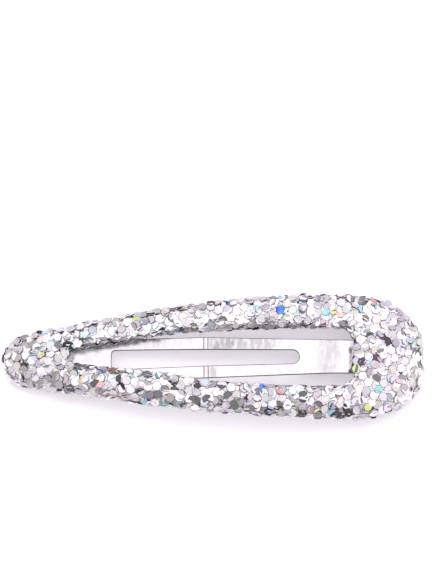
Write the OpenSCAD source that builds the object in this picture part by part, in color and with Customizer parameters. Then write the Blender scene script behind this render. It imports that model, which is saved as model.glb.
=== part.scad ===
// Snap hair clip: a bowed spring-steel ring in a padded glitter sleeve, with a slotted steel tongue.
// X runs from the narrow tip (-X) to the wide end (+X), Z is up, and the clip rests on its two ends.

/* [Overall] */
// Length of the covered clip, tip to wide end
clip_length = 51.6; // [46:0.2:58]
// Width of the covered clip at its widest
clip_width = 15.3; // [14:0.1:17]
// How far the middle of the clip bows up above its two ends
arch_rise = 3.2; // [2.6:0.1:4]
// How far the soft underside is pressed flat where the two ends rest
foot_flat = 0.1; // [0.06:0.01:0.14]

/* [Outline] */
// Length of the rounded wide end, from the widest line to the nose
nose_length = 9.6; // [8:0.1:11]
// Bulge of the side: 0 leaves it straight from the widest line, 1 makes it one arc to the tip
side_bulge = 0.88; // [0.5:0.01:0.95]
// Radius of the narrow tip
tip_radius = 3.3; // [2.9:0.05:3.6]

/* [Opening] */
// Covered length at the wide end, from the nose to the opening
heel_length = 9; // [8:0.1:10.5]
// Covered length at the narrow tip, from the tip to the opening
toe_length = 8; // [7.4:0.1:9]
// Width of the opening at its widest
opening_width = 7.3; // [6.6:0.1:7.6]
// Length of the squared end of the opening
opening_end_length = 3.4; // [2.8:0.1:4]
// Bulge of the side of the opening, as on the outside
opening_bulge = 0.84; // [0.6:0.01:0.95]
// Radius of the narrow end of the opening
opening_tip_radius = 0.9; // [0.7:0.05:1.1]

/* [Sleeve] */
// Height of the sleeve over a side arm, underside to crown
sleeve_height = 2.3; // [2:0.05:2.8]
// Height of the upright side of the sleeve, where its rounded shoulder starts
sleeve_side_height = 1.15; // [1.05:0.05:1.3]
// Width of the rounded shoulder, seen from above
shoulder_width = 1.4; // [1.1:0.05:1.5]
// Rise of the pad over its width between the shoulders
pad_crown = 0.06; // [0.02:0.01:0.1]
// Thickness of the sleeve beside the steel
sleeve_wall = 0.6; // [0.45:0.05:0.7]
// Width of the edge that is turned in under the steel
lip_width = 0.5; // [0.35:0.05:0.6]
// Thickness of the turned-in edge
lip_thickness = 0.3; // [0.2:0.05:0.4]
// Ease of the bottom corner of the sleeve
edge_ease = 0.15; // [0.1:0.01:0.2]
// Gap between the sleeve and the steel inside it
sleeve_gap = 0.06; // [0.04:0.01:0.08]

/* [Steel ring] */
// Thickness of the steel ring
ring_thickness = 0.5; // [0.4:0.05:0.6]
// Length of the lapped joint under the narrow tip
lap_length = 3.6; // [3:0.1:4]
// Width of the lapped joint
lap_width = 2; // [1.6:0.1:2.4]
// Thickness of the lapped layer
lap_thickness = 0.28; // [0.2:0.02:0.34]
// Distance from the sleeve's outer end to the lapped layer
lap_inset = 1.7; // [1.5:0.1:2]
// Radius of the pressed stud that holds the lap
stud_radius = 0.5; // [0.4:0.05:0.6]
// Height of the pressed stud under the lap
stud_height = 0.25; // [0.15:0.05:0.3]

/* [Tongue] */
// Thickness of the tongue
tongue_thickness = 0.45; // [0.4:0.05:0.5]
// Width of the tongue at its root
tongue_root_width = 4.1; // [3.7:0.1:4.5]
// Width of the tongue from the crease to the tip
tongue_wide_width = 5; // [4.6:0.1:5.2]
// Distance from the sleeve's narrow end to the tip of the tongue
tongue_tip_inset = 5; // [4.6:0.1:6]
// Length of the rounded tip of the tongue
tongue_tip_length = 3.6; // [2.8:0.1:4.4]
// Distance from the root to the middle of the crease
crease_distance = 18.3; // [16:0.1:20]
// Length of the rounded crease
crease_length = 0.5; // [0.4:0.05:0.8]
// Straight length before the bend at the root
root_flat_length = 1.1; // [0.9:0.1:1.5]
// Length of the bend near the root
root_bend_length = 4; // [3:0.1:5]
// Depth of the straight seat in the steel ring for the root of the tongue
seat_depth = 0.15; // [0.1:0.01:0.2]
// Gap between the root of the tongue and its seat
root_gap = 0.05; // [0.03:0.01:0.08]
// Gap between the tongue and the underside of the sleeve
under_gap = 0.12; // [0.1:0.01:0.2]
// Gap on each side of the tongue in the sleeve's notch
notch_gap = 0.2; // [0.15:0.05:0.3]

/* [Tongue slot] */
// Distance from the root to the near end of the slot
slot_distance = 7; // [6:0.1:8]
// Length of the slot
slot_length = 22.8; // [20:0.1:24]
// Width of the slot at its near end
slot_root_width = 1.65; // [1.4:0.05:1.8]
// Width of the slot at its far end
slot_tip_width = 2.3; // [2:0.05:2.5]
// Length of the rounded far end of the slot
slot_tip_round = 1.1; // [0.9:0.05:1.3]

/* [Hidden] */

steps_nose = 10;
steps_belly = 4;
steps_flank = 10;
steps_tip = 6;
shoulder_angles = [0, 22.5, 45, 67.5, 90];
squareness_nose = 2.3;
squareness_round = 2;
squareness_square = 5;
side_foot = 0.25;
overcut = 1;
cap_steps = 10;
bend_steps = 6;
half_height = arch_rise + sleeve_height + overcut;

nose_x = clip_length / 2;
tip_x = -clip_length / 2;
opening_end_x = nose_x - heel_length;
opening_length = clip_length - heel_length - toe_length;

// The bow is an arc of a circle, and its two ends lie foot_flat under the surface it rests on.
foot_x = nose_x - edge_ease;
bow_depth = arch_rise + foot_flat;
arch_radius = (foot_x * foot_x + bow_depth * bow_depth) / (2 * bow_depth);
function arch_z(x) = sqrt(arch_radius * arch_radius - x * x) - (arch_radius - arch_rise);
function arch_slope(x) = x / sqrt(arch_radius * arch_radius - x * x);

// Heights over the underside of the sleeve.
ring_bottom = lip_thickness + sleeve_gap;
ring_top = ring_bottom + ring_thickness;
recess_top = ring_top + sleeve_gap;
notch_top = recess_top + sleeve_gap;

// A quarter of a superellipse as [x, y, normal x, normal y], from its end to its side.
function power(v, p) = v < 1e-9 ? 0 : pow(v, p);
function corner(a, b, squareness, angle) =
    let (c = max(0, cos(angle)), s = max(0, sin(angle)), p = 2 / squareness,
         n = [power(c, 2 - p) / a, power(s, 2 - p) / b])
    concat([a * power(c, p), b * power(s, p)], n / norm(n));

// Half of a teardrop from its wide end at end_x to its tip, as [x, y, normal x, normal y].
// Its side is an arc and then a straight flank, each tangent to the next curve.
function half_teardrop(end_x, length, half_width, end_length, squareness, bulge, end_radius) =
    let (b = length - end_length - end_radius,
         full_radius = (b * b + half_width * half_width - end_radius * end_radius)
             / (2 * (half_width - end_radius)),
         side_radius = bulge * full_radius,
         a = half_width - side_radius,
         k = side_radius - end_radius,
         flank = sqrt(a * a + b * b - k * k),
         turn = atan2(a * flank + b * k, b * flank - a * k),
         wide_x = end_x - end_length,
         side_y = half_width - side_radius,
         flank_start = [wide_x - side_radius * sin(turn), side_y + side_radius * cos(turn)],
         tip_centre = end_x - length + end_radius)
    concat(
        [for (i = [0 : steps_nose])
            let (c = corner(end_length, half_width, squareness, 90 * i / steps_nose))
            [wide_x + c[0], c[1], c[2], c[3]]],
        [for (i = [1 : steps_belly])
            let (t = turn * i / steps_belly)
            [wide_x - side_radius * sin(t), side_y + side_radius * cos(t), -sin(t), cos(t)]],
        [for (i = [1 : steps_flank])
            let (d = flank * i / steps_flank)
            [flank_start[0] - d * cos(turn), flank_start[1] - d * sin(turn), -sin(turn), cos(turn)]],
        [for (i = [1 : steps_tip])
            let (t = turn + (90 - turn) * i / steps_tip)
            [tip_centre - end_radius * sin(t), i == steps_tip ? 0 : end_radius * cos(t), -sin(t), cos(t)]]
    );

// The whole loop: the half, then its mirror image back to the wide end.
function loop(half) = concat(
    half,
    [for (i = [len(half) - 2 : -1 : 1]) [half[i][0], -half[i][1], half[i][2], -half[i][3]]]
);
function moved(p, distance) = [p[0] + distance * p[2], p[1] + distance * p[3]];

outer_loop = loop(half_teardrop(nose_x, clip_length, clip_width / 2, nose_length,
                                squareness_nose, side_bulge, tip_radius));
inner_loop = loop(half_teardrop(opening_end_x, opening_length, opening_width / 2, opening_end_length,
                                squareness_square, opening_bulge, opening_tip_radius));
stations = len(outer_loop);

// One ring of the sleeve's section at station i, as points in space, none under the surface.
function lifted(p, height) = [p[0], p[1], max(0, height + arch_z(p[0]))];
function outer_point(i, inset, height) = lifted(moved(outer_loop[i], -inset), height);
function inner_point(i, inset, height) = lifted(moved(inner_loop[i], inset), height);
function shoulder_inset(angle) = shoulder_width * (1 - cos(angle));
function shoulder_height(angle) =
    sleeve_side_height + (sleeve_height - sleeve_side_height) * sin(angle);
function middle(a, b, height) = lifted([(a[0] + b[0]) / 2, (a[1] + b[1]) / 2], height);
function crown_point(i) =
    let (a = outer_point(i, shoulder_width, 0), b = inner_point(i, shoulder_width, 0),
         across = (a[0] - b[0]) * outer_loop[i][2] + (a[1] - b[1]) * outer_loop[i][3])
    middle(a, b, sleeve_height + pad_crown * across);
function roof_point(i) =
    middle(outer_point(i, sleeve_wall, 0), inner_point(i, sleeve_wall, 0), recess_top);

function sleeve_section(i) = concat(
    [outer_point(i, edge_ease, 0), outer_point(i, 0, side_foot)],
    [for (a = shoulder_angles) outer_point(i, shoulder_inset(a), shoulder_height(a))],
    [crown_point(i)],
    [for (k = [len(shoulder_angles) - 1 : -1 : 0])
        inner_point(i, shoulder_inset(shoulder_angles[k]), shoulder_height(shoulder_angles[k]))],
    [inner_point(i, 0, side_foot),
     inner_point(i, edge_ease, 0),
     inner_point(i, sleeve_wall + lip_width, 0),
     inner_point(i, sleeve_wall + lip_width, lip_thickness),
     inner_point(i, sleeve_wall, lip_thickness),
     inner_point(i, sleeve_wall, recess_top),
     roof_point(i),
     outer_point(i, sleeve_wall, recess_top),
     outer_point(i, sleeve_wall, lip_thickness),
     outer_point(i, sleeve_wall + lip_width, lip_thickness),
     outer_point(i, sleeve_wall + lip_width, 0)]
);

module sleeve_body() {
    sections = [for (i = [0 : stations - 1]) sleeve_section(i)];
    ring = len(sections[0]);
    points = [for (s = sections) for (p = s) p];
    faces = [
        for (i = [0 : stations - 1])
            for (j = [0 : ring - 1])
                let (i2 = (i + 1) % stations, j2 = (j + 1) % ring,
                     a = i * ring + j, b = i * ring + j2, c = i2 * ring + j2, d = i2 * ring + j)
                for (f = [[a, b, c], [a, c, d]]) f
    ];
    polyhedron(points = points, faces = faces, convexity = 6);
}

// A bowed slab over the whole clip, between two heights over the underside of the sleeve.
module bowed_slab(low, high) {
    centre_z = arch_rise - arch_radius;
    rotate([90, 0, 0])
        linear_extrude(height = clip_width + 2 * overcut, center = true)
            intersection() {
                difference() {
                    translate([0, centre_z + high]) circle(r = arch_radius, $fn = 360);
                    translate([0, centre_z + low]) circle(r = arch_radius, $fn = 360);
                }
                square([clip_length + 2 * overcut, 2 * half_height], center = true);
            }
}

module upright() {
    linear_extrude(height = 2 * half_height, center = true) children();
}

module bowed_plate(low, high) {
    intersection() {
        bowed_slab(low, high);
        upright() children();
    }
}

module outline(points_loop, distance) {
    polygon([for (p = points_loop) moved(p, distance)]);
}

seat_x = opening_end_x + sleeve_wall + sleeve_gap + seat_depth;
root_x = seat_x - root_gap - tongue_thickness / 2;
root_z = arch_z(root_x) + ring_bottom + ring_thickness / 2;

// The tongue leaves the ring and the sleeve through this gap, which ends at end_x.
module root_gap_outline(end_x) {
    half = tongue_root_width / 2 + notch_gap;
    translate([opening_end_x - overcut, -half])
        square([end_x - opening_end_x + overcut, 2 * half]);
}

module glitter_sleeve() {
    color([0.82, 0.8, 0.84])
        difference() {
            sleeve_body();
            bowed_plate(-overcut, notch_top)
                root_gap_outline(seat_x + lip_width);
        }
}

module steel_ring() {
    inset = sleeve_wall + sleeve_gap;
    lap_start = tip_x + lap_inset;
    lap_round = lap_width / 2;
    stud_x = lap_start + lap_round;
    color([0.8, 0.8, 0.82])
        union() {
            bowed_plate(ring_bottom, ring_top)
                difference() {
                    outline(outer_loop, -inset);
                    outline(inner_loop, inset);
                    root_gap_outline(seat_x);
                }
            bowed_plate(ring_bottom - lap_thickness, ring_bottom + ring_thickness / 2)
                union() {
                    translate([stud_x, 0]) circle(r = lap_round, $fn = 32);
                    translate([stud_x, -lap_round]) square([lap_length - lap_round, lap_width]);
                }
            translate([stud_x, 0, arch_z(stud_x) + ring_bottom - lap_thickness - stud_height])
                cylinder(r = stud_radius, h = stud_height + lap_thickness, $fn = 32);
        }
}

// The tongue's middle line, at a distance from its root: it leaves the ring along the bow, bends
// level, and turns down again at the crease to lie under the narrow tip.
crease_x = root_x - crease_distance;
tongue_end_x = tip_x + tongue_tip_inset;
tongue_length = root_x - tongue_end_x;
crease_z = arch_z(crease_x) - under_gap - tongue_thickness / 2;
tongue_end_z = arch_z(tongue_end_x) - under_gap - tongue_thickness / 2;
root_slope = arch_slope(root_x);
bend_start_z = root_z + root_slope * root_flat_length;
level_run = crease_distance - root_flat_length - root_bend_length;
level_slope = (crease_z - bend_start_z - root_slope * root_bend_length / 2)
    / (root_bend_length / 2 + level_run);
fall_slope = (tongue_end_z - crease_z) / (tongue_length - crease_distance);

// [distance from the root, slope there]: the line is curved between the rows.
slope_rows = [
    [0, root_slope],
    [root_flat_length, root_slope],
    [root_flat_length + root_bend_length, level_slope],
    [crease_distance - crease_length / 2, level_slope],
    [crease_distance + crease_length / 2, fall_slope],
    [tongue_length, fall_slope]
];
function row_line(r, z) =
    let (a = slope_rows[r], b = slope_rows[r + 1], run = b[0] - a[0], bent = abs(b[1] - a[1]) > 1e-9,
         count = bent ? bend_steps : 1)
    [for (k = [1 : count])
        let (d = run * k / count, s = a[1] + (b[1] - a[1]) * k / count)
        [a[0] + d, z + (a[1] + s) / 2 * d, s]];
function middle_line(r = 0, so_far = [[0, root_z, root_slope]]) =
    r == len(slope_rows) - 1 ? so_far
    : middle_line(r + 1, concat(so_far, row_line(r, so_far[len(so_far) - 1][1])));
function side_point(p, offset_by) =
    let (n = [p[2], 1] / norm([p[2], 1]))
    [root_x - p[0] + offset_by * n[0], p[1] + offset_by * n[1]];

module tongue_profile() {
    line = middle_line();
    last = len(line) - 1;
    half = tongue_thickness / 2;
    polygon(concat(
        [for (i = [0 : last]) side_point(line[i], half)],
        [for (i = [last : -1 : 0]) side_point(line[i], -half)]
    ));
    translate([root_x, root_z]) circle(r = half, $fn = 24);
}

// A rounded end that points to -X, from its lower side to its upper side.
function end_cap(tip, length, half_width, squareness) =
    [for (i = [0 : 2 * cap_steps])
        let (angle = 90 - 90 * i / cap_steps,
             c = corner(length, half_width, squareness, abs(angle)))
        [tip + length - c[0], -sign(angle) * c[1]]];

module tongue_outline() {
    root_half = tongue_root_width / 2;
    neck_x = root_x - root_flat_length - root_bend_length / 2;
    polygon(concat(
        [[root_x + tongue_thickness, root_half], [root_x + tongue_thickness, -root_half],
         [neck_x, -root_half], [crease_x, -tongue_wide_width / 2]],
        end_cap(tongue_end_x, tongue_tip_length, tongue_wide_width / 2, squareness_round),
        [[crease_x, tongue_wide_width / 2], [neck_x, root_half]]
    ));
}

module slot_outline() {
    near_x = root_x - slot_distance;
    near_radius = slot_root_width / 2;
    translate([near_x - near_radius, 0]) circle(r = near_radius, $fn = 32);
    polygon(concat(
        [[near_x - near_radius, near_radius], [near_x - near_radius, -near_radius]],
        end_cap(near_x - slot_length, slot_tip_round, slot_tip_width / 2, squareness_square)
    ));
}

module tongue() {
    color([0.86, 0.86, 0.88])
        intersection() {
            rotate([90, 0, 0])
                linear_extrude(height = clip_width, center = true)
                    tongue_profile();
            upright()
                difference() {
                    tongue_outline();
                    slot_outline();
                }
        }
}

glitter_sleeve();
steel_ring();
tongue();
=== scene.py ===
import math

import bmesh
import bpy
from mathutils import Matrix, Vector, noise


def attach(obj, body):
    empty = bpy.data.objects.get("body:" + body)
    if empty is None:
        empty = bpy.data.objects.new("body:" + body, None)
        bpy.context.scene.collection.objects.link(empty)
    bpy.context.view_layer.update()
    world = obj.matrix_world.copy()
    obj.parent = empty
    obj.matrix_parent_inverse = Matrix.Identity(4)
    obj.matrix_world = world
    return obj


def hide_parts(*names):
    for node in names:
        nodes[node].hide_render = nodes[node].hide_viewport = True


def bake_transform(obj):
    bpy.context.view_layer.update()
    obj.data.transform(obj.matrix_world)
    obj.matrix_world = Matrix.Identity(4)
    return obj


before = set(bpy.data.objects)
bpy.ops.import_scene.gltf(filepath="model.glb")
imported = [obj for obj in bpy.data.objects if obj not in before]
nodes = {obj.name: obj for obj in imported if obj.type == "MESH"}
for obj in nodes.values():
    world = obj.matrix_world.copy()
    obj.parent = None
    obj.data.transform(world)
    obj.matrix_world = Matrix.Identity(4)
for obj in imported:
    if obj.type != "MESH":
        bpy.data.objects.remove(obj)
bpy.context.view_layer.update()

mm = 0.001

# outlines: the same teardrops as the solids, in millimetres

clip = {
    "length": 51.6,
    "width": 15.3,
    "rise": 3.2,  # how far the middle bows up
    "footFlat": 0.1,  # how far the soft underside is pressed flat at its ends
    "footEase": 0.15,
    "nose": 9.6,
    "noseSquareness": 2.3,
    "bulge": 0.88,
    "tipRadius": 3.3,
    "heel": 9.0,
    "toe": 8.0,
    "openingWidth": 7.3,
    "openingEnd": 3.4,
    "openingSquareness": 5,
    "openingBulge": 0.84,
    "openingTip": 0.9,
    # how far each stretch of the inner seam wanders: in full a run past its start on X, and less
    # where it nears the middle line
    "seams": {
        "upper": {"by": 0.25, "start": 2, "run": 6, "fade": 2},
        "upperToe": {"by": 0.3, "start": 1, "run": 6, "fade": 0.9},
        "lower": {"by": 0.35, "start": -1, "run": 5, "fade": 0.9},
        "heel": {"by": 0.22, "run": 1.2, "wave": 2.6, "shift": 0.4},
    },
}

noseX = clip["length"] / 2
tipX = -noseX
openingX = noseX - clip["heel"]
footX = noseX - clip["footEase"]
bowDepth = clip["rise"] + clip["footFlat"]
bowRadius = (footX ** 2 + bowDepth ** 2) / (2 * bowDepth)


def bow(x):
    return math.sqrt(bowRadius ** 2 - x * x) - (bowRadius - clip["rise"])


def bowSlope(x):
    return x / math.sqrt(bowRadius ** 2 - x * x)


def quarter(a, b, squareness, angle):
    # a point and its outward direction on a quarter of a rounded rectangle
    c, s = max(0.0, math.cos(angle)), max(0.0, math.sin(angle))
    p = 2 / squareness
    power = lambda v, e: 0.0 if v < 1e-9 else v ** e
    n = Vector((power(c, 2 - p) / a, power(s, 2 - p) / b)).normalized()
    return a * power(c, p), b * power(s, p), n.x, n.y


def halfTeardrop(endX, length, halfWidth, endLength, squareness, bulge, endRadius, steps):
    # x, y and the outward direction, from the wide end round one side to the tip
    b = length - endLength - endRadius
    fullRadius = (b * b + halfWidth ** 2 - endRadius ** 2) / (2 * (halfWidth - endRadius))
    sideRadius = bulge * fullRadius
    a, k = halfWidth - sideRadius, sideRadius - endRadius
    flank = math.sqrt(a * a + b * b - k * k)
    turn = math.atan2(a * flank + b * k, b * flank - a * k)
    wideX = endX - endLength
    points = []
    for i in range(steps["nose"] + 1):
        x, y, nx, ny = quarter(endLength, halfWidth, squareness, math.pi / 2 * i / steps["nose"])
        points.append((wideX + x, y, nx, ny))
    for i in range(1, steps["belly"] + 1):
        t = turn * i / steps["belly"]
        c, s = math.cos(t), math.sin(t)
        points.append((wideX - sideRadius * s, a + sideRadius * c, -s, c))
    startX, startY = points[-1][:2]
    c, s = math.cos(turn), math.sin(turn)
    for i in range(1, steps["flank"] + 1):
        d = flank * i / steps["flank"]
        points.append((startX - d * c, startY - d * s, -s, c))
    for i in range(1, steps["tip"] + 1):
        t = turn + (math.pi / 2 - turn) * i / steps["tip"]
        c, s = math.cos(t), math.sin(t)
        y = 0.0 if i == steps["tip"] else endRadius * c
        points.append((endX - length + endRadius - endRadius * s, y, -s, c))
    return points


def wholeLoop(half):
    return half + [(x, -y, nx, -ny) for x, y, nx, ny in half[-2:0:-1]]


def easeIn(t):
    t = max(0.0, min(1.0, t))
    return (3 - 2 * t) * t ** 2


def handSewn(station):
    # fuller above the wide end, and below the narrow one
    x, y, nx, ny = station
    upper, upperToe, lower, heel = (clip["seams"][k] for k in ("upper", "upperToe", "lower", "heel"))
    if y > 0:
        y -= upper["by"] * easeIn((x - upper["start"]) / upper["run"]) * min(1, y / upper["fade"])
        y += upperToe["by"] * easeIn((upperToe["start"] - x) / upperToe["run"]) * min(1, y / upperToe["fade"])
    else:
        y += lower["by"] * easeIn((lower["start"] - x) / lower["run"]) * min(1, -y / lower["fade"])
    wave = 0.5 + 0.5 * math.sin(heel["wave"] * y - heel["shift"])
    x -= heel["by"] * easeIn((x - openingX + heel["run"]) / heel["run"]) * wave
    return x, y, nx, ny


def teardropPair(steps):
    outer = halfTeardrop(noseX, clip["length"], clip["width"] / 2, clip["nose"], clip["noseSquareness"],
                         clip["bulge"], clip["tipRadius"], steps)
    inner = halfTeardrop(openingX, clip["length"] - clip["heel"] - clip["toe"], clip["openingWidth"] / 2,
                         clip["openingEnd"], clip["openingSquareness"], clip["openingBulge"],
                         clip["openingTip"], steps)
    return wholeLoop(outer), [handSewn(station) for station in wholeLoop(inner)]


def meshObject(name, vertices, faces, smooth=False):
    mesh = bpy.data.meshes.new(name)
    mesh.from_pydata([Vector(v) * mm for v in vertices], [], faces)
    mesh.validate()
    mesh.polygons.foreach_set("use_smooth", [smooth] * len(mesh.polygons))
    mesh.update()
    thing = bpy.data.objects.new(name, mesh)
    bpy.context.scene.collection.objects.link(thing)
    return thing


def bakeDown(thing):
    # the evaluated shape becomes the mesh, and the modifiers go
    graph = bpy.context.evaluated_depsgraph_get()
    done = bpy.data.meshes.new_from_object(thing.evaluated_get(graph), preserve_all_data_layers=True,
                                           depsgraph=graph)
    thing.modifiers.clear()
    old = thing.data
    thing.data = done
    done.name = thing.name
    bpy.data.meshes.remove(old)
    return thing


# nodes, for the materials and for geometry nodes

def feed(tree, node, inputs):
    # each input takes a value, or the output that drives it
    for key, value in inputs.items():
        if isinstance(key, int):
            socket = node.inputs[key]
        else:
            socket = next(s for s in node.inputs if s.name == key and s.enabled)
        if isinstance(value, bpy.types.NodeSocket):
            tree.links.new(value, socket)
        else:
            socket.default_value = value
    return node


def add(tree, kind, inputs=None, **settings):
    node = tree.nodes.new(kind)
    for key, value in settings.items():
        setattr(node, key, value)
    return feed(tree, node, inputs or {})


def maths(tree, operation, *values):
    return add(tree, "ShaderNodeMath", dict(enumerate(values)), operation=operation).outputs[0]


def mapRange(tree, value, given, wanted, way="LINEAR"):
    return add(tree, "ShaderNodeMapRange", {
        "Value": value, "From Min": given[0], "From Max": given[1], "To Min": wanted[0], "To Max": wanted[1],
    }, interpolation_type=way).outputs["Result"]


def noiseValue(tree, place, scale, detail, roughness=0.5):
    return add(tree, "ShaderNodeTexNoise", {
        "Vector": place, "Scale": scale, "Detail": detail, "Roughness": roughness,
    }).outputs["Fac"]


def mixed(tree, factor, first, second, blend="MIX"):
    node = add(tree, "ShaderNodeMix", data_type="RGBA", blend_type=blend)
    feed(tree, node, {"Factor": factor, "A": first, "B": second})
    return next(s for s in node.outputs if s.enabled)


def bumped(tree, height, strength, depth):
    return add(tree, "ShaderNodeBump", {
        "Height": height, "Strength": strength, "Distance": depth * mm,
    }).outputs["Normal"]


def ramp(tree, value, stops, interpolation="LINEAR"):
    node = add(tree, "ShaderNodeValToRGB", {"Fac": value})
    node.color_ramp.interpolation = interpolation
    elements = node.color_ramp.elements
    while len(elements) < len(stops):
        elements.new(0.5)
    # all places come first, because a new place can change the order
    for element, (place, colour) in zip(elements, stops):
        element.position = place
    for element, (place, colour) in zip(elements, stops):
        element.color = (*colour, 1)
    return node.outputs["Color"]


def newMaterial(name):
    material = bpy.data.materials.new(name)
    material.use_nodes = True
    tree = material.node_tree
    return material, tree, tree.nodes["Principled BSDF"]


def objectPlace(tree):
    return add(tree, "ShaderNodeTexCoord").outputs["Object"]


flakeFinish = {
    "roughness": (0.12, 0.36),
    "shade": (0.48, 1),
    "paintedGapShade": (0.05, 0.5),  # painted shade: the punched rim is darker than the face, as in the shadowed gaps between flakes, more so on some
    "steepEdge": 0.95,  # on the steep sides it catches the light
    "steepBand": (0.45, 0.9),
    "edgeDraw": 47.3,  # makes a second random number of the flake's shade
    "shimmer": 0.07,  # how far a flake's hue drifts across it
    "shimmerScale": 900,
    "shimmerBand": (0.3, 0.7),
    "waveScale": 1400,  # its face isn't quite flat
    "waveStrength": 0.25,
    "waveDepth": 0.03,
    # a flake takes one of these by its own random number: mostly silver, some pearly, a few bright or dark
    "tones": [
        (0.000, (0.92, 0.90, 0.92)),
        (0.500, (0.80, 0.76, 0.86)),
        (0.620, (0.92, 0.84, 0.88)),
        (0.700, (0.85, 0.91, 0.88)),
        (0.770, (0.94, 0.91, 0.83)),
        (0.830, (0.78, 0.84, 0.95)),
        (0.880, (0.72, 0.64, 0.77)),
        (0.915, (0.93, 0.78, 0.75)),
        (0.935, (0.10, 0.08, 0.11)),
        (0.950, (0.62, 0.60, 0.60)),
        (0.962, (0.50, 0.74, 0.95)),
        (0.973, (0.10, 0.38, 0.85)),
        (0.978, (0.42, 0.80, 0.92)),
        (0.983, (0.55, 0.84, 0.68)),
        (0.986, (0.80, 0.88, 0.42)),
        (0.990, (0.95, 0.84, 0.48)),
        (0.994, (0.95, 0.60, 0.40)),
        (0.996, (0.92, 0.46, 0.44)),
        (0.998, (0.50, 0.34, 0.72)),
    ],
}


def flakeMaterial():
    material, tree, shader = newMaterial("holographicFlake")
    place = objectPlace(tree)
    tone, shade, rim, level = (
        add(tree, "ShaderNodeAttribute", attribute_name=name).outputs["Fac"]
        for name in ("flakeTone", "flakeShade", "flakeEdge", "flakeLevel")
    )
    silver = ramp(tree, tone, flakeFinish["tones"], "CONSTANT")
    drift = noiseValue(tree, place, flakeFinish["shimmerScale"], detail=0)
    hues = (0.5 - flakeFinish["shimmer"], 0.5 + flakeFinish["shimmer"])
    turn = mapRange(tree, drift, flakeFinish["shimmerBand"], hues)
    tinted = add(tree, "ShaderNodeHueSaturation", {"Hue": turn, "Color": silver}).outputs["Color"]
    # painted shade on the rim faces: a second random number sets how deep it is, and on steep cloth the rim
    # stays nearly as light as the face
    own = maths(tree, "FRACT", maths(tree, "MULTIPLY", shade, flakeFinish["edgeDraw"]))
    gapShade = mapRange(tree, own, (0, 1), flakeFinish["paintedGapShade"])
    edge = mapRange(tree, level, flakeFinish["steepBand"], (flakeFinish["steepEdge"], gapShade))
    dim = mapRange(tree, rim, (0, 1), (1, edge))
    light = maths(tree, "MULTIPLY", mapRange(tree, shade, (0, 1), flakeFinish["shade"]), dim)
    wave = noiseValue(tree, place, flakeFinish["waveScale"], detail=1)
    feed(tree, shader, {
        "Base Color": mixed(tree, 1, tinted, light, "MULTIPLY"),
        "Roughness": mapRange(tree, shade, (0, 1), flakeFinish["roughness"]),
        "Metallic": 1,
        "Normal": bumped(tree, wave, flakeFinish["waveStrength"], flakeFinish["waveDepth"]),
    })
    return material


backingFinish = {
    "grainScale": 2600,
    "grainStrength": 0.8,
    "grainDepth": 0.08,
    "roughness": (0.25, 0.6),
    "metallic": 0.55,
    # mostly near black as painted shade for the gaps between the flakes, with a few real dust colours
    "tones": [
        (0.00, (0.03, 0.025, 0.035)),
        (0.45, (0.2, 0.18, 0.22)),
        (0.65, (0.45, 0.41, 0.47)),
        (0.80, (0.75, 0.7, 0.78)),
        (0.94, (0.16, 0.3, 0.6)),
        (0.97, (0.5, 0.2, 0.45)),
    ],
}


def backingMaterial():
    # coated cloth with fine glitter dust, which shows between the flakes; its mostly near-black tones are
    # partly painted shade for the gaps between them
    material, tree, shader = newMaterial("glitterBacking")
    grains = add(tree, "ShaderNodeTexVoronoi", {
        "Vector": objectPlace(tree), "Scale": backingFinish["grainScale"],
    }, feature="F1")
    draw = add(tree, "ShaderNodeSeparateColor", {"Color": grains.outputs["Color"]}).outputs
    feed(tree, shader, {
        "Base Color": ramp(tree, draw["Red"], backingFinish["tones"], "CONSTANT"),
        "Roughness": mapRange(tree, draw["Green"], (0, 1), backingFinish["roughness"]),
        "Metallic": backingFinish["metallic"],
        "Normal": bumped(tree, draw["Blue"], backingFinish["grainStrength"], backingFinish["grainDepth"]),
    })
    return material


# sheet steel: what all three finishes share, and then what each has of its own

steelSheet = {
    "rolling": (60, 5200, 5200),  # fine lengthwise lines
    "rollingBand": (0.3, 0.7),
    "rollingGloss": (0.7, 1.5),  # how the roughness varies from line to line
    "rollingStrength": 0.12,
    "rollingDepth": 0.01,
    "cloudScale": 420,  # faint smears all over
    "cloudRoughness": 0.65,
    "cloudBand": (0.36, 0.5),
    "ripple": (2600, 900, 900),  # the painted reflection patches are rippled across
    "rippleBand": (0.38, 0.62),
    "rippleAmount": (1.0, 0.35),
    "patchEdge": 0.35,
    "patchTone": 0.4,
    "lineTone": 0.35,
    "lineHalfWidth": 0.07,
}
tongueFinish = {
    "tint": (0.66, 0.65, 0.66),
    "roughness": 0.2,
    "smudge": 0.12,
    # painted reflection: darker mottled patches on the mirror-like sheet, most right of the crease and near
    # the root
    "patches": [
        {"centre": (0.9, 1.85, 2.8), "size": (1.9, 1.5, 3), "strength": 0.8},
        {"centre": (4.9, 1.85, 2.8), "size": (4.0, 1.4, 3), "strength": 0.6},
        {"centre": (-0.2, -2.0, 2.8), "size": (0.6, 1.1, 3), "strength": 0.5},
        {"centre": (13.9, 0.3, 2.7), "size": (1.8, 3.2, 3), "strength": 0.4},
        {"centre": (-6.5, 1.9, 2.4), "size": (5.5, 1.4, 3), "strength": 0.2},
    ],
    "lines": [-1.215, -0.715],  # where the crease is pressed; dark lines are painted there as the grooves' shade and reflections
}
# the sheared edge is rougher, and its near-black tint is painted shade that draws a dark outline round the
# blade and its slot
shearedEdgeShadeFinish = {"tint": (0.18, 0.17, 0.19), "roughness": 0.45, "smudge": 0.4, "patches": [], "lines": []}
ringFinish = {"tint": (0.62, 0.61, 0.625), "roughness": 0.24, "smudge": 0.22, "patches": [], "lines": []}


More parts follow.
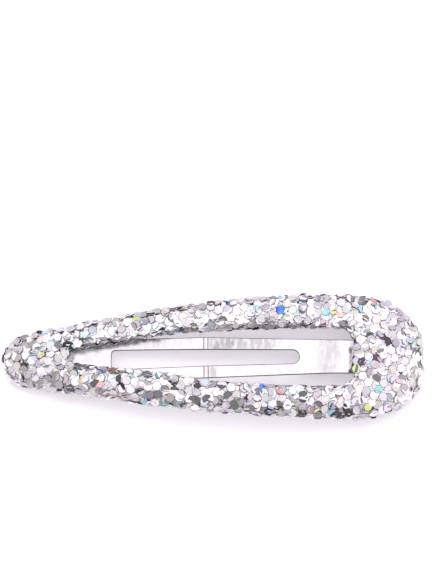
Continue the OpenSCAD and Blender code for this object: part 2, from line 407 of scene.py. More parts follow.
def paintedReflectionPatch(tree, place, patch):
    # a soft-edged patch of painted reflection on the sheet, 1 in its middle and 0 past its rim
    (x, y, z), (wide, deep, high) = patch["centre"], patch["size"]
    fit = add(tree, "ShaderNodeMapping", {
        "Vector": place,
        "Scale": (1 / (wide * mm), 1 / (deep * mm), 1 / (high * mm)),
        "Location": (-x / wide, -y / deep, -z / high),
    })
    ball = add(tree, "ShaderNodeTexGradient", {"Vector": fit.outputs["Vector"]}, gradient_type="SPHERICAL")
    rim = (0, steelSheet["patchEdge"])
    return mapRange(tree, ball.outputs["Fac"], rim, (0, patch["strength"]), "SMOOTHSTEP")


def steelMaterial(name, finish):
    material, tree, shader = newMaterial(name)
    place = objectPlace(tree)
    tint, smudge = finish["tint"], finish["smudge"]

    def toned(share):
        return tuple(c * share for c in tint)

    def streaked(scale, detail):
        fit = add(tree, "ShaderNodeMapping", {"Vector": place, "Scale": scale})
        return noiseValue(tree, fit.outputs["Vector"], 1, detail)

    clouds = noiseValue(tree, place, steelSheet["cloudScale"], detail=5,
                        roughness=steelSheet["cloudRoughness"])
    colour = ramp(tree, clouds, list(zip(steelSheet["cloudBand"], (toned(1 - smudge), tint))))
    if finish["patches"]:
        streaks = streaked(steelSheet["ripple"], detail=2)
        ripple = mapRange(tree, streaks, steelSheet["rippleBand"], steelSheet["rippleAmount"])
        # each patch darkens the colour as a painted reflection
        for patch in finish["patches"]:
            amount = maths(tree, "MULTIPLY", paintedReflectionPatch(tree, place, patch), ripple)
            colour = mixed(tree, amount, colour, (*toned(steelSheet["patchTone"]), 1))
    # painted shade and reflection: a thin dark line along each scored groove
    for lineX in finish["lines"]:
        along = add(tree, "ShaderNodeSeparateXYZ", {0: place}).outputs["X"]
        near = maths(tree, "COMPARE", along, lineX * mm, steelSheet["lineHalfWidth"] * mm)
        colour = mixed(tree, near, colour, (*toned(steelSheet["lineTone"]), 1))
    rolling = streaked(steelSheet["rolling"], detail=3)
    gloss = [finish["roughness"] * share for share in steelSheet["rollingGloss"]]
    feed(tree, shader, {
        "Base Color": colour,
        "Roughness": mapRange(tree, rolling, steelSheet["rollingBand"], gloss),
        "Metallic": 1,
        "Normal": bumped(tree, rolling, steelSheet["rollingStrength"], steelSheet["rollingDepth"]),
    })
    return material


flakeLook = flakeMaterial()
backingLook = backingMaterial()
tongueSteel = steelMaterial("tongueSteel", tongueFinish)
shearedEdgeShadeSteel = steelMaterial("shearedEdgeShadeSteel", shearedEdgeShadeFinish)
ringSteel = steelMaterial("ringSteel", ringFinish)
print("materials ready")

# the padded sleeve under the flakes

sleeve = {
    "height": 2.24,  # the flakes stand up to 0.2 on this
    "sideHeight": 1.15,
    "sideFrom": 0.7,
    "shoulder": 2.7,  # wide and round, so that the arms slope outwards
    "innerShoulder": 0.45,
    "crown": 0.06,
    "wall": 0.6,
    "lip": 0.5,
    "lipThickness": 0.3,
    "ease": 0.15,
    "foot": 0.25,
    "clearance": 0.03,  # the cloth never lies lower than this
    "recessTop": 0.92,
    "flakeBed": 0.28,  # how far the cloth lies inside the solid's skin
    "underBed": 0.7,  # and the share of that under its turned-in edge
    "rootHalfWidth": 2.25,  # the tongue's way out at the wide end
    "rootReach": 0.6,
    "rootTop": 0.98,
    "rootStep": 0.02,  # keeps the points over it apart
    "rootRoof": 0.01,
    "shoulderSteps": 8,
    "crownSteps": 6,
    "steps": {"nose": 22, "belly": 14, "flank": 22, "tip": 12},
}
padding = {
    "puff": 0.08,  # it is uneven by this much
    "broadWave": 0.5,
    "fineWave": 1.3,
    "fineShare": 0.5,
    "levelBelow": 0.6,  # the underside is uneven sideways alone
    "swell": 0.07,  # the most that it may press the cloth out
    "pressure": 4,
    "stiffness": 30,
    "quality": 6,
    "frames": 20,
    "scale": 20,  # it is worked out this many times as large
    "heldColumns": 2,  # the turned-in edge on each side stays where it is
    "seed": 12,
}


def sleeveSections():
    # one cut across the sleeve for each station of its outline: the outside first, then the recess
    outer, inner = teardropPair(sleeve["steps"])
    bed, wall, lipHeight = sleeve["flakeBed"], sleeve["wall"], sleeve["lipThickness"]
    lipIn, underBed = wall + sleeve["lip"], bed * sleeve["underBed"]
    rounds, parts = sleeve["shoulderSteps"], sleeve["crownSteps"]

    def at(station, sign, inset, height):
        x, y = station[0] - sign * inset * station[2], station[1] - sign * inset * station[3]
        return (x, y, max(sleeve["clearance"], height + bow(x)))

    def side(station, sign, lowest):
        shoulder = sleeve["shoulder"] if sign > 0 else sleeve["innerShoulder"]
        rise = sleeve["height"] - bed - sleeve["sideHeight"]
        path = [(lipIn, underBed), (sleeve["ease"] + bed, underBed)]
        path += [(bed, sleeve["foot"] + bed), (bed, sleeve["sideFrom"])]
        for k in range(rounds + 1):
            t = math.pi / 2 * k / rounds
            inset = bed + (shoulder - bed) * (1 - math.cos(t))
            path.append((inset, sleeve["sideHeight"] + rise * math.sin(t)))
        step = sleeve["rootStep"] if lowest else 0.0
        return [at(station, sign, i, max(h, lowest + step * n)) for n, (i, h) in enumerate(path)]

    sections = []
    for a, b in zip(outer, inner):
        overRoot = b[0] > openingX - sleeve["rootReach"] and abs(b[1]) < sleeve["rootHalfWidth"]
        lowest = sleeve["rootTop"] if overRoot else 0.0
        left, right = side(a, 1, 0.0), side(b, -1, lowest)
        p, q = Vector(left[-1]), Vector(right[-1])
        across = abs((p - q).x * a[2] + (p - q).y * a[3])
        crown = []
        for k in range(1, parts):
            m = p.lerp(q, k / parts)
            lift = sleeve["crown"] * across * 4 * k / parts * (1 - k / parts)
            crown.append((m.x, m.y, bow(m.x) + sleeve["height"] - bed + lift))
        outside = left + crown + right[::-1]
        recess = [
            at(b, -1, lipIn, max(lowest, lipHeight)),
            at(b, -1, wall, max(lowest, lipHeight)),
            at(b, -1, wall, max(lowest + sleeve["rootRoof"], sleeve["recessTop"])),
            at(a, 1, wall, sleeve["recessTop"]),
            at(a, 1, wall, lipHeight),
            at(a, 1, lipIn, lipHeight),
        ]
        sections.append(outside + recess)
    return sections, len(outside)


def unevenPad(point):
    v = Vector(point)
    fine = noise.noise_vector(v * padding["fineWave"]) * padding["fineShare"]
    n = noise.noise_vector(v * padding["broadWave"]) + fine
    return v + Vector((n.x, n.y, n.z if v.z > padding["levelBelow"] else 0)) * padding["puff"]


def gridFaces(count, size, columns):
    faces = []
    for i in range(count):
        for j in columns:
            i2, j2 = (i + 1) % count, (j + 1) % size
            faces.append((i * size + j, i2 * size + j, i2 * size + j2, i * size + j2))
    return faces


def swellCloth(thing):
    # the foam presses the cloth out between its turned-in edges
    scale, edge = padding["scale"], padding["heldColumns"]
    work = thing.copy()
    work.data = thing.data.copy()
    bpy.context.scene.collection.objects.link(work)
    work.data.transform(Matrix.Scale(scale, 4))
    still = [i for i in range(len(work.data.vertices)) if not edge <= i % sectionSize < outsideCount - edge]
    work.vertex_groups.new(name="held").add(still, 1, "REPLACE")
    cloth = work.modifiers.new("cloth", "CLOTH")
    settings = cloth.settings
    settings.vertex_group_mass = "held"
    settings.quality = padding["quality"]
    settings.use_pressure = True
    settings.uniform_pressure_force = padding["pressure"]
    settings.tension_stiffness = settings.compression_stiffness = padding["stiffness"]
    settings.effector_weights.gravity = 0
    cloth.point_cache.frame_start = 1
    cloth.point_cache.frame_end = padding["frames"]
    for f in range(1, padding["frames"] + 1):
        bpy.context.scene.frame_set(f)
    graph = bpy.context.evaluated_depsgraph_get()
    after = work.evaluated_get(graph).to_mesh()
    most = padding["swell"] * mm
    moved = 0.0
    for v, w in zip(thing.data.vertices, after.vertices):
        step = w.co / scale - v.co
        if step.length > most:
            step *= most / step.length
        moved = max(moved, step.length)
        v.co = [round(c, 7) for c in v.co + step]
    work.evaluated_get(graph).to_mesh_clear()
    bpy.context.scene.frame_set(1)
    spare = work.data
    bpy.data.objects.remove(work)
    bpy.data.meshes.remove(spare)
    print("padding pressed the cloth out by up to", round(moved / mm, 3), "mm")


noise.seed_set(padding["seed"])
sections, outsideCount = sleeveSections()
sectionSize = len(sections[0])
backing = meshObject("glitter_backing",
                     [unevenPad(p) if j < outsideCount else p for s in sections for j, p in enumerate(s)],
                     gridFaces(len(sections), sectionSize, range(sectionSize)), True)
backing.data.materials.append(backingLook)
swellCloth(backing)
skin = [v.co / mm for v in backing.data.vertices]
print("sleeve cloth:", len(backing.data.polygons), "faces")

# hexagon flakes, by geometry nodes

flakes = {
    "size": 1.08,  # across the flats
    "corners": 6,
    "thickness": 0.06,
    "rim": 0.055,  # the punch turns the edge down
    "tiltPower": 1.4,  # most flakes lie nearly flat and a few stand up
    "densest": 3e7,  # tries to the square metre
    "heelFrom": 14.5,
    "toeFrom": -15,
    "draws": {"spin": 1, "tilt": 2, "lift": 3, "size": 5, "tone": 7, "shade": 8},
    "layers": [
        {"name": "bed", "on": "outside", "spacing": 0.62, "share": 0.96, "leastSize": 0.9,
         "lift": (-0.02, 0.01), "tilt": 6, "room": 0.58, "seed": 3},
        {"name": "middle", "on": "outside", "spacing": 0.9, "share": 1.0, "leastSize": 0.9,
         "lift": (0.03, 0.07), "tilt": 25, "room": 0.62, "seed": 11},
        {"name": "loose", "on": "outside", "spacing": 0.98, "share": 1.02, "leastSize": 0.9,
         "lift": (0.07, 0.13), "tilt": 30, "room": 0.66, "seed": 23},
        {"name": "stray", "on": "outside", "spacing": 2.0, "share": 1.0, "leastSize": 0.9,
         "lift": (0.06, 0.1), "tilt": 36, "room": 0.85, "seed": 29},
        {"name": "ragged", "on": "outerSide", "spacing": 1.9, "share": 1.0, "leastSize": 0.9,
         "lift": (0.08, 0.2), "tilt": 46, "room": 0.75, "seed": 31},
        {"name": "turned", "on": "turnedIn", "spacing": 0.5, "share": 0.5, "leastSize": 0.7,
         "lift": (-0.02, 0.01), "tilt": 4, "room": 0.13, "seed": 37},
    ],
}


def flakeTree():
    tree = bpy.data.node_groups.new("hexagonFlakes", "GeometryNodeTree")
    face = tree.interface
    face.new_socket("Geometry", in_out="INPUT", socket_type="NodeSocketGeometry")
    named = {}
    for label in ("Spacing", "Flake Radius", "Rim", "Thickness", "Lift Low", "Lift High", "Tilt",
                  "Least Size", "Room"):
        named[label] = face.new_socket(label, in_out="INPUT", socket_type="NodeSocketFloat")
    named["Seed"] = face.new_socket("Seed", in_out="INPUT", socket_type="NodeSocketInt")
    face.new_socket("Geometry", in_out="OUTPUT", socket_type="NodeSocketGeometry")
    given = tree.nodes.new("NodeGroupInput").outputs
    draws = flakes["draws"]

    def chance(low, high, draw):
        seed = maths(tree, "ADD", given["Seed"], draw)
        node = add(tree, "FunctionNodeRandomValue", data_type="FLOAT")
        feed(tree, node, {"Min": low, "Max": high, "Seed": seed})
        return next(s for s in node.outputs if s.enabled)

    def along(letter, value):
        return add(tree, "ShaderNodeCombineXYZ", {letter: value}).outputs[0]

    def heightOf(vector):
        return add(tree, "ShaderNodeSeparateXYZ", {0: vector}).outputs["Z"]

    def store(geometry, name, domain, value):
        return add(tree, "GeometryNodeStoreNamedAttribute", {
            "Geometry": geometry, "Name": name, "Value": value,
        }, data_type="FLOAT", domain=domain).outputs["Geometry"]

    scatter = add(tree, "GeometryNodeDistributePointsOnFaces", {
        "Mesh": given["Geometry"], "Distance Min": given["Spacing"], "Density Max": flakes["densest"],
        "Seed": given["Seed"],
    }, distribute_method="POISSON").outputs
    # no flake where it would reach through the table
    height = heightOf(tree.nodes.new("GeometryNodeInputPosition").outputs[0])
    points = add(tree, "GeometryNodeDeleteGeometry", {
        "Geometry": scatter["Points"], "Selection": maths(tree, "LESS_THAN", height, given["Room"]),
    }, domain="POINT").outputs["Geometry"]
    # how level the cloth is under each flake
    points = store(points, "flakeLevel", "POINT", heightOf(scatter["Normal"]))

    hexagon = add(tree, "GeometryNodeMeshCone", {
        "Vertices": flakes["corners"], "Depth": given["Thickness"], "Radius Bottom": given["Flake Radius"],
        "Radius Top": maths(tree, "SUBTRACT", given["Flake Radius"], given["Rim"]),
    }, fill_type="NGON").outputs
    # marks the sloped side faces, which take the painted gap shade
    rimmed = store(hexagon["Mesh"], "flakeEdge", "FACE", hexagon["Side"])
    flat = add(tree, "GeometryNodeSetShadeSmooth", {"Geometry": rimmed, "Shade Smooth": False})

    placed = add(tree, "GeometryNodeInstanceOnPoints", {
        "Points": points, "Instance": flat.outputs["Geometry"], "Rotation": scatter["Rotation"],
        "Scale": chance(given["Least Size"], 1.0, draws["size"]),
    })
    spun = add(tree, "GeometryNodeRotateInstances", {
        "Instances": placed.outputs["Instances"],
        "Rotation": along("Z", chance(0.0, 2 * math.pi, draws["spin"])),
    })
    lean = maths(tree, "POWER", chance(0.0, 1.0, draws["tilt"]), flakes["tiltPower"])
    tilted = add(tree, "GeometryNodeRotateInstances", {
        "Instances": spun.outputs["Instances"],
        "Rotation": along("X", maths(tree, "MULTIPLY", lean, given["Tilt"])),
    })
    lifted = add(tree, "GeometryNodeTranslateInstances", {
        "Instances": tilted.outputs["Instances"],
        "Translation": along("Z", chance(given["Lift Low"], given["Lift High"], draws["lift"])),
    })
    toned = store(lifted.outputs["Instances"], "flakeTone", "INSTANCE", chance(0.0, 1.0, draws["tone"]))
    shaded = store(toned, "flakeShade", "INSTANCE", chance(0.0, 1.0, draws["shade"]))
    solid = add(tree, "GeometryNodeRealizeInstances", {"Geometry": shaded})
    dressed = add(tree, "GeometryNodeSetMaterial", {
        "Geometry": solid.outputs["Geometry"], "Material": flakeLook,
    })
    add(tree, "NodeGroupOutput", {"Geometry": dressed.outputs["Geometry"]})
    return tree, named


turnedIn = [0, 1, outsideCount - 3, outsideCount - 2]
clothColumns = {
    "turnedIn": turnedIn,
    "outside": [j for j in range(outsideCount - 1) if j not in turnedIn],
    "outerSide": [2, 3, 4, 5],
}


def clothStretch(name, keep, columns):
    # part of the sleeve's outside
    faces = gridFaces(len(sections), sectionSize, columns)
    faces = [f for f in faces if keep(sum((skin[i] for i in f), Vector()) / 4)]
    used = sorted({i for f in faces for i in f})
    renumber = {old: new for new, old in enumerate(used)}
    return meshObject(name, [skin[i] for i in used], [tuple(renumber[i] for i in f) for f in faces], True)


def growFlakes(name, keep, seedShift):
    made = []
    for layer in flakes["layers"]:
        strip = clothStretch(name + "_" + layer["name"], keep, clothColumns[layer["on"]])
        modifier = strip.modifiers.new("flakes", "NODES")
        modifier.node_group = tree
        values = {
            "Spacing": layer["spacing"] * mm,
            "Flake Radius": flakes["size"] * layer["share"] / math.sqrt(3) * mm,
            "Rim": flakes["rim"] * mm,
            "Thickness": flakes["thickness"] * mm,
            "Lift Low": layer["lift"][0] * mm,
            "Lift High": layer["lift"][1] * mm,
            "Tilt": math.radians(layer["tilt"]),
            "Least Size": layer["leastSize"],
            "Room": layer["room"] * mm,
            "Seed": layer["seed"] + seedShift,
        }
        for label, value in values.items():
            modifier[named[label].identifier] = value
        made.append(bakeDown(strip))
    keeper = made[0]
    with bpy.context.temp_override(active_object=keeper, object=keeper, selected_objects=made,
                                   selected_editable_objects=made):
        bpy.ops.object.join()
    keeper.name = keeper.data.name = name
    return keeper


def onArms(p):
    return flakes["toeFrom"] < p.x <= flakes["heelFrom"]


tree, named = flakeTree()
flakePieces = [
    growFlakes("flakes_heel", lambda p: p.x > flakes["heelFrom"], 0),
    growFlakes("flakes_upper_arm", lambda p: onArms(p) and p.y >= 0, 100),
    growFlakes("flakes_lower_arm", lambda p: onArms(p) and p.y < 0, 200),
    growFlakes("flakes_toe", lambda p: p.x <= flakes["toeFrom"], 300),
]
print("flakes:", sum(len(p.data.polygons) for p in flakePieces) // (flakes["corners"] + 2))

# the tongue: one creased, slotted strip of sheet steel, seated in the ring

ringSeat = {"gap": 0.06, "seatDepth": 0.15, "thickness": 0.5}
blade = {
    "thickness": 0.45,
    "rootWidth": 4.1,
    "wideWidth": 5.0,
    "tipInset": 5.0,
    "tipLength": 3.6,
    "creaseAt": 18.3,
    "creaseLength": 0.5,
    "rootFlat": 1.1,
    "rootBend": 4.0,
    "rootGap": 0.05,
    "underGap": 0.12,
    "slotAt": 7.0,
    "slotLength": 22.8,
    "slotRootWidth": 1.65,
    "slotTipWidth": 2.3,
    "slotTipRound": 1.1,
    "slotTipSquareness": 5,
    "scoreDepth": 0.035,  # the two fine lines that edge the crease
    "scoreWidth": 0.09,
    "edgeRound": 0.085,
    "tail": 0.6,  # runs into the ring past the root, where the real sheet is one piece
    "flare": 0.45,  # and widens there on each side
    "flareFrom": 0.7,
    "flareRun": 0.9,
    "bendRun": 5,  # a bend length
    "stationStep": 0.35,  # between the points of its outline
    "leastStep": 0.012,
    "roundSteps": 16,
    "cutStep": 0.6,  # between the cuts across it, which let it follow its line
    "cutSnap": 0.03,
    "flatFrom": 0.999,
}

ringMiddle = sleeve["lipThickness"] + ringSeat["gap"] + ringSeat["thickness"] / 2
seatX = openingX + sleeve["wall"] + ringSeat["gap"] + ringSeat["seatDepth"]
rootX = seatX - blade["rootGap"] - blade["thickness"] / 2
rootZ = bow(rootX) + ringMiddle
bladeEndX = tipX + blade["tipInset"]
bladeLength = rootX - bladeEndX
creaseX = rootX - blade["creaseAt"]
creaseZ = bow(creaseX) - blade["underGap"] - blade["thickness"] / 2
endZ = bow(bladeEndX) - blade["underGap"] - blade["thickness"] / 2
slotNearX = rootX - blade["slotAt"]
slotFarX = slotNearX - blade["slotLength"]
slotNearHalf, slotFarHalf = blade["slotRootWidth"] / 2, blade["slotTipWidth"] / 2
scoreX = [creaseX + side * blade["creaseLength"] / 2 for side in (-1, 1)]
rootSlope = bowSlope(rootX)
bendStartZ = rootZ + rootSlope * blade["rootFlat"]
levelRun = blade["creaseAt"] - blade["rootFlat"] - blade["rootBend"]
levelSlope = (creaseZ - bendStartZ - rootSlope * blade["rootBend"] / 2) / (blade["rootBend"] / 2 + levelRun)
fallSlope = (endZ - creaseZ) / (bladeLength - blade["creaseAt"])
slopeRows = [
    (0, rootSlope),
    (blade["rootFlat"], rootSlope),
    (blade["rootFlat"] + blade["rootBend"], levelSlope),
    (blade["creaseAt"] - blade["creaseLength"] / 2, levelSlope),
    (blade["creaseAt"] + blade["creaseLength"] / 2, fallSlope),
    (bladeLength, fallSlope),
]


def bladeHeight(x):
    d, z = rootX - x, rootZ
    if d < 0:
        return bow(x) + ringMiddle
    for (d0, s0), (d1, s1) in zip(slopeRows, slopeRows[1:]):
        run = min(d, d1) - d0
        if run <= 0:
            break
        s = s0 + (s1 - s0) * run / (d1 - d0)
        z += (s0 + s) / 2 * run
    for lineX in scoreX:
        z -= blade["scoreDepth"] * max(0.0, 1 - abs(x - lineX) / blade["scoreWidth"])
    return z


def bladeHalfWidth(x):
    neckX = rootX - blade["rootFlat"] - blade["rootBend"] / 2
    root, wide = blade["rootWidth"] / 2, blade["wideWidth"] / 2
    if x >= neckX:
        near = min(1.0, max(0.0, (x - rootX + blade["flareFrom"]) / blade["flareRun"]))
        return root + blade["flare"] * (1 - math.sqrt(1 - near * near))
    if x >= creaseX:
        return root + (wide - root) * (neckX - x) / (neckX - creaseX)
    u = (bladeEndX + blade["tipLength"] - x) / blade["tipLength"]
    return wide if u <= 0 else wide * math.sqrt(max(0.0, 1 - u * u))


def slotHalfWidth(x):
    if x >= slotNearX or x <= slotFarX:
        return 0.0
    if x > slotNearX - slotNearHalf:
        return math.sqrt(max(0.0, slotNearHalf ** 2 - (x - slotNearX + slotNearHalf) ** 2))
    along = (slotNearX - slotNearHalf - x) / (slotNearX - slotNearHalf - slotFarX - blade["slotTipRound"])
    if along <= 1:
        return slotNearHalf + (slotFarHalf - slotNearHalf) * along
    u, n = (slotFarX + blade["slotTipRound"] - x) / blade["slotTipRound"], blade["slotTipSquareness"]
    return slotFarHalf * max(0.0, 1 - u ** n) ** (1 / n)


def bladeStations():
    # closer together round the two ends of the slot, round the tip and at the scored lines
    startX = rootX + blade["tail"]
    places = {round(startX, 4), round(bladeEndX, 4)}
    x = startX
    while x > bladeEndX + blade["tipLength"]:
        places.add(round(x, 4))
        x -= blade["stationStep"]
    for k in range(blade["roundSteps"] + 1):
        c = math.cos(math.pi / 2 * k / blade["roundSteps"])
        places.add(round(bladeEndX + blade["tipLength"] * (1 - c), 4))
        places.add(round(slotNearX - slotNearHalf * (1 - c), 4))
        places.add(round(slotFarX + blade["slotTipRound"] * (1 - c ** (2 / blade["slotTipSquareness"])), 4))
    for lineX in scoreX:
        for k in (-1, -0.5, 0, 0.5, 1):
            places.add(round(lineX + k * blade["scoreWidth"], 4))
    kept = []
    for x in sorted(places):
        if not kept or x - kept[-1] > blade["leastStep"]:
            kept.append(x)
    return kept


def drawnIn(points, by):
    # the outline moved by this much to its left
    moved = []
    for i, (x, y) in enumerate(points):
        ahead, behind = Vector(points[(i + 1) % len(points)]), Vector(points[i - 1])
        way = (ahead - behind).normalized()
        moved.append((x - way.y * by, y + way.x * by))
    return moved


def bladePlate(stations):
    # a flat plate with a slot and rounded edges, from a filled curve
    slotted = [x for x in stations if slotHalfWidth(x) > 0]
    upper = [(x, bladeHalfWidth(x)) for x in stations if bladeHalfWidth(x) > 0]
    outer = [(stations[0], 0)] + [(x, -y) for x, y in upper] + upper[::-1]
    slot = [(slotFarX, 0)] + [(x, slotHalfWidth(x)) for x in slotted] + [(slotNearX, 0)]
    slot += [(x, -slotHalfWidth(x)) for x in slotted[::-1]]
    curve = bpy.data.curves.new("tongueOutline", "CURVE")
    curve.dimensions = "2D"
    curve.fill_mode = "BOTH"
    curve.extrude = (blade["thickness"] / 2 - blade["edgeRound"]) * mm
    curve.bevel_depth = blade["edgeRound"] * mm
    curve.bevel_resolution = 3
    for points in (outer, slot):
        spline = curve.splines.new("POLY")
        drawn = drawnIn(points, blade["edgeRound"])
        spline.points.add(len(drawn) - 1)
        for point, (x, y) in zip(spline.points, drawn):
            point.co = (x * mm, y * mm, 0, 1)
        spline.use_cyclic_u = True
    flat = bpy.data.objects.new("tongueOutline", curve)
    bpy.context.scene.collection.objects.link(flat)
    graph = bpy.context.evaluated_depsgraph_get()
    mesh = bpy.data.meshes.new_from_object(flat.evaluated_get(graph), depsgraph=graph)
    bpy.data.objects.remove(flat)
    mesh.name = "tongue_blade"
    return mesh


def makeBlade():
    # the plate is cut across, and then laid on the blade's line
    stations = bladeStations()
    mesh = bladePlate(stations)
    mesh.materials.clear()
    for steel in (tongueSteel, shearedEdgeShadeSteel):
        mesh.materials.append(steel)
    work = bmesh.new()
    work.from_mesh(mesh)
    bmesh.ops.remove_doubles(work, verts=work.verts, dist=0.001 * mm)
    bmesh.ops.dissolve_limit(work, angle_limit=0.001, verts=work.verts, edges=work.edges)
    first, last = stations[0], stations[-1]
    count = int((last - first) / blade["cutStep"])
    cuts = [first + (last - first) * k / count for k in range(1, count)]
    cuts = [x for x in cuts if abs(x - creaseX) > blade["creaseLength"]]
    cuts += [lineX + k * blade["scoreWidth"] for lineX in scoreX for k in (-1, 0, 1)]
    for x in cuts:
        bmesh.ops.bisect_plane(work, geom=work.verts[:] + work.edges[:] + work.faces[:],
                               dist=blade["cutSnap"] * mm, plane_co=(x * mm, 0, 0), plane_no=(1, 0, 0))
    bmesh.ops.recalc_face_normals(work, faces=work.faces)
    for face in work.faces:
        face.smooth = True
        # the two flat sides are plain sheet, and the rest is the sheared edge, which takes the painted edge
        # shade
        face.material_index = int(abs(face.normal.z) < blade["flatFrom"])
    for edge in work.edges:
        edge.smooth = len({face.material_index for face in edge.link_faces}) == 1
    for v in work.verts:
        v.co.z += bladeHeight(v.co.x / mm) * mm
    work.to_mesh(mesh)
    work.free()
    thing = bpy.data.objects.new("tongue_blade", mesh)
    bpy.context.scene.collection.objects.link(thing)
    return thing


tongueBlade = makeBlade()
print("tongue:", len(tongueBlade.data.polygons), "faces")

# the ring stays as the solid, with its own steel
nodes["steel_ring"].data.materials.clear()
nodes["steel_ring"].data.materials.append(ringSteel)

# what rides on what
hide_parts("glitter_sleeve")
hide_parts("tongue")
for piece in [backing, *flakePieces]:
    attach(piece, "frame")
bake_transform(tongueBlade)

# floor, light and camera

studio = {
    "floorHalf": 900,
    "floorTint": (0.63, 0.615, 0.635),
    "floorRoughness": 0.7,
    "floorGlow": (0.335, 0.32, 0.34),  # the table is lit from below too
    "softbox": (1.72, 1.68, 1.72),
    "softboxWay": (0.05, 0.38, 1),  # it hangs a little towards the far side
    "softboxEdge": (0.54, 0.92),
    "southRoom": (0.12, 0.12, 0.12),  # what the lower rims reflect
    "southLow": (0.5, 0.5, 0.5),  # it is lighter near the table
    "southBand": (0.3, 0.65),
    "northRoom": (0.56, 0.51, 0.59),  # what the upper rims reflect
    "northBand": (-0.3, 0.5),
    "eastRoom": (1.4, 1.3, 1.38),
    "eastBand": (0.2, 0.7),
    "westRoom": (1.2, 1.15, 1.2),
    "westBand": (-0.72, -0.18),
    "backdrop": (0.93, 0.92, 0.94),
    "lampTint": (1.0, 0.985, 1.0),
    "keyPower": 0.5,
    "keySize": 0.22,
    "keyFrom": (-0.02, 0.16, 0.34),
    "fillStrength": 0.86,
    "fillSpread": 25,  # degrees
    "fillFrom": (0.35, -0.9, 0.42),
}


def makeFloor():
    half = studio["floorHalf"]
    corners = [(-half, -half, 0), (half, -half, 0), (half, half, 0), (-half, half, 0)]
    floor = meshObject("floor", corners, [(0, 1, 2, 3)])
    material, tree, shader = newMaterial("paleFloor")
    feed(tree, shader, {
        "Base Color": (*studio["floorTint"], 1),
        "Roughness": studio["floorRoughness"],
        "Emission Color": (*studio["floorGlow"], 1),
        "Emission Strength": 1,
    })
    # it is clear from below
    side = add(tree, "ShaderNodeNewGeometry").outputs["Backfacing"]
    clear = add(tree, "ShaderNodeBsdfTransparent").outputs[0]
    mix = add(tree, "ShaderNodeMixShader", {0: side, 1: shader.outputs[0], 2: clear})
    feed(tree, tree.nodes["Material Output"], {"Surface": mix.outputs[0]})
    floor.data.materials.append(material)
    # it gives way to the tongue when the clip is open
    mark = bpy.data.objects.new("tongueTipMark", None)
    bpy.context.scene.collection.objects.link(mark)
    mark.location = (bladeEndX * mm, 0, (endZ - blade["thickness"] / 2) * mm)
    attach(mark, "tongue")
    follow = floor.constraints.new("COPY_LOCATION")
    follow.target = mark
    follow.use_x = follow.use_y = False
    limit = floor.constraints.new("LIMIT_LOCATION")
    limit.use_max_z = True
    limit.max_z = 0


def makeWorld():
    # a wide softbox overhead in a room whose four sides differ
    world = bpy.data.worlds.new("studioRoom")
    bpy.context.scene.world = world
    world.use_nodes = True
    tree = world.node_tree
    way = add(tree, "ShaderNodeTexCoord").outputs["Generated"]
    part = add(tree, "ShaderNodeSeparateXYZ", {0: way}).outputs

    def blendBy(value, band, first, second):
        step = mapRange(tree, value, band, (0, 1), "SMOOTHSTEP")
        first, second = ((*c, 1) if isinstance(c, tuple) else c for c in (first, second))
        return mixed(tree, step, first, second)

    south = blendBy(part["Z"], studio["southBand"], studio["southLow"], studio["southRoom"])
    room = blendBy(part["Y"], studio["northBand"], south, studio["northRoom"])
    room = blendBy(part["X"], studio["eastBand"], room, studio["eastRoom"])
    room = blendBy(part["X"], studio["westBand"], studio["westRoom"], room)
    lean = add(tree, "ShaderNodeVectorMath", {
        0: way, 1: Vector(studio["softboxWay"]).normalized(),
    }, operation="DOT_PRODUCT").outputs["Value"]
    background = tree.nodes["Background"]
    feed(tree, background, {"Color": blendBy(lean, studio["softboxEdge"], room, studio["softbox"])})
    # the camera itself sees a pale backdrop
    seen = add(tree, "ShaderNodeLightPath").outputs["Is Camera Ray"]
    pale = add(tree, "ShaderNodeBackground", {"Color": (*studio["backdrop"], 1)})
    choose = add(tree, "ShaderNodeMixShader", {0: seen, 1: background.outputs[0], 2: pale.outputs[0]})
    feed(tree, tree.nodes["World Output"], {"Surface": choose.outputs[0]})


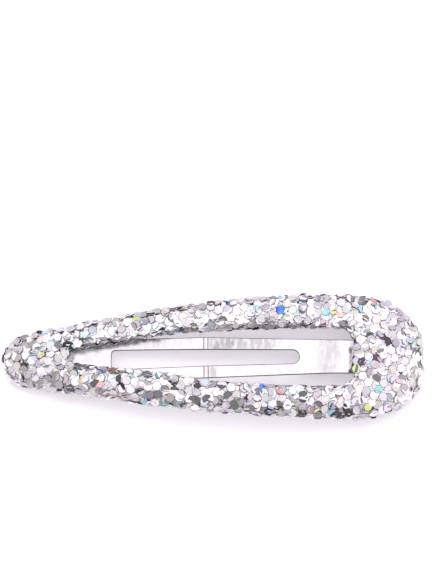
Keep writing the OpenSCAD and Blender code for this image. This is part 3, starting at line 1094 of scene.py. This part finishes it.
def hangLamp(light, place):
    light.color = studio["lampTint"]
    lamp = bpy.data.objects.new(light.name, light)
    bpy.context.scene.collection.objects.link(lamp)
    lamp.location = place
    lamp.visible_glossy = False  # it shapes the shadow, and the softbox makes the gleam
    lamp.rotation_euler = (-lamp.location).to_track_quat("-Z", "Y").to_euler()


def makeLamps():
    key = bpy.data.lights.new("keySoftbox", "AREA")
    key.shape = "DISK"
    key.size = studio["keySize"]
    key.energy = studio["keyPower"]
    hangLamp(key, studio["keyFrom"])
    fill = bpy.data.lights.new("lowFill", "SUN")  # it lifts the shadow on the near side
    fill.angle = math.radians(studio["fillSpread"])
    fill.energy = studio["fillStrength"]
    hangLamp(fill, studio["fillFrom"])


photoView = {
    "size": (440, 580),
    "pixelsPerMm": 8.22,
    "elevation": 81.0,
    "distance": 420.0,
    "clipCentre": (214.0, 359.6),  # where the middle of the clip lies in the frame
    "aimHeight": 1.2,
    "roll": 0.6,
    "sensor": 36,
}


def makeCamera():
    wide, tall = photoView["size"]
    scale = photoView["pixelsPerMm"]
    data = bpy.data.cameras.new("camera")
    data.sensor_width = photoView["sensor"]
    data.lens = photoView["sensor"] * photoView["distance"] / (tall / scale)
    data.clip_start = 0.02
    data.clip_end = 20
    camera = bpy.data.objects.new("camera", data)
    bpy.context.scene.collection.objects.link(camera)
    e = math.radians(photoView["elevation"])
    back = Vector((0, -math.cos(e), math.sin(e)))
    turn = (-back).to_track_quat("-Z", "Y").to_matrix()
    turn = turn @ Matrix.Rotation(math.radians(-photoView["roll"]), 3, "Z")
    right, up = turn.col[0], turn.col[1]
    offX = (wide / 2 - photoView["clipCentre"][0]) / scale
    offY = (photoView["clipCentre"][1] - tall / 2) / scale
    aim = Vector((0, 0, photoView["aimHeight"])) + right * offX + up * offY
    camera.matrix_world = Matrix.Translation((aim + back * photoView["distance"]) * mm) @ turn.to_4x4()
    bpy.context.scene.camera = camera


makeFloor()
makeWorld()
makeLamps()
makeCamera()
bpy.context.scene.view_settings.view_transform = "Standard"
print("studio ready")
